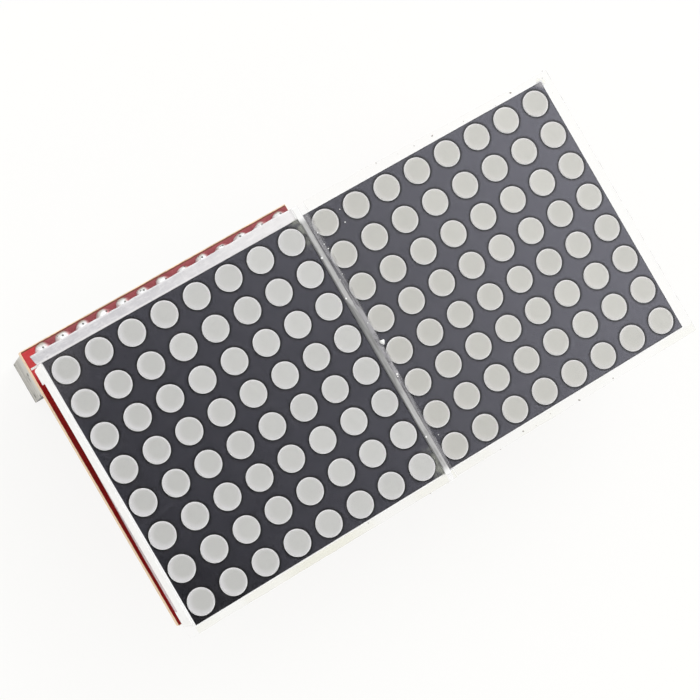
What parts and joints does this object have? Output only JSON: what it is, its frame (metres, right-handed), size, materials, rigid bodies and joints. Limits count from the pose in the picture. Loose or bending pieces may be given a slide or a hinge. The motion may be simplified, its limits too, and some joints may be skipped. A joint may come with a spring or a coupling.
{
  "type": "led dot matrix",
  "caption": "Display board with LED dot matrix modules side by side on a red circuit board, with a socket strip on its back that plugs onto a pin header.",
  "frame": {"origin": "centre of the socket's contact pattern, on the socket's mating face", "axes": "+X along the socket towards the right module, +Y away from the modules across the socket, +Z out of the display face"},
  "size_m": [0.0663, 0.0356, 0.0202],
  "materials": {
    "housing_white": "moulded white plastic, semi-matt",
    "face_ink": "screen-printed black ink, satin",
    "milky_resin": "milky diffusing epoxy, satin",
    "chip_board": "bare laminate",
    "led_chip": "semiconductor chip",
    "tinned_pin": "tinned wire",
    "clear_film": "thin clear protective film with scratches and dust",
    "solder": "bright solder",
    "chip_mould": "black moulding compound",
    "tinned_lead": "matt tin plate",
    "board_red": "red solder mask on glass-epoxy laminate, bare tan cut edges",
    "legend_white": "white legend ink",
    "socket_plastic": "black moulded plastic, left end cut and whitened",
    "contact_metal": "gold-flashed spring bronze",
    "resistor_body": "black overglaze",
    "ceramic_body": "tan ceramic",
    "bulk_body": "ochre moulding compound"
  },
  "bodies": {
    "root": {"left_reflector_housing": "housing_white", "right_reflector_housing": "housing_white", "left_face_ink": "face_ink", "right_face_ink": "face_ink", "left_resin_dots": "milky_resin", "right_resin_dots": "milky_resin", "left_chip_board": "chip_board", "right_chip_board": "chip_board", "left_led_chips": "led_chip", "right_led_chips": "led_chip", "left_module_pins": "tinned_pin", "right_module_pins": "tinned_pin", "left_face_film": "clear_film", "right_face_film": "clear_film", "left_pin_solder_joints": "solder", "right_pin_solder_joints": "solder", "left_driver_body": "chip_mould", "right_driver_body": "chip_mould", "left_driver_leads": "tinned_lead", "right_driver_leads": "tinned_lead", "main_board": "board_red", "board_legend": "legend_white", "socket_body": "socket_plastic", "socket_contacts": "contact_metal", "socket_solder_joints": "solder", "set_resistors": "resistor_body", "decoupling_capacitors": "ceramic_body", "bulk_capacitors": "bulk_body", "chip_end_caps": "tinned_lead"}
  },
  "joints": []
}
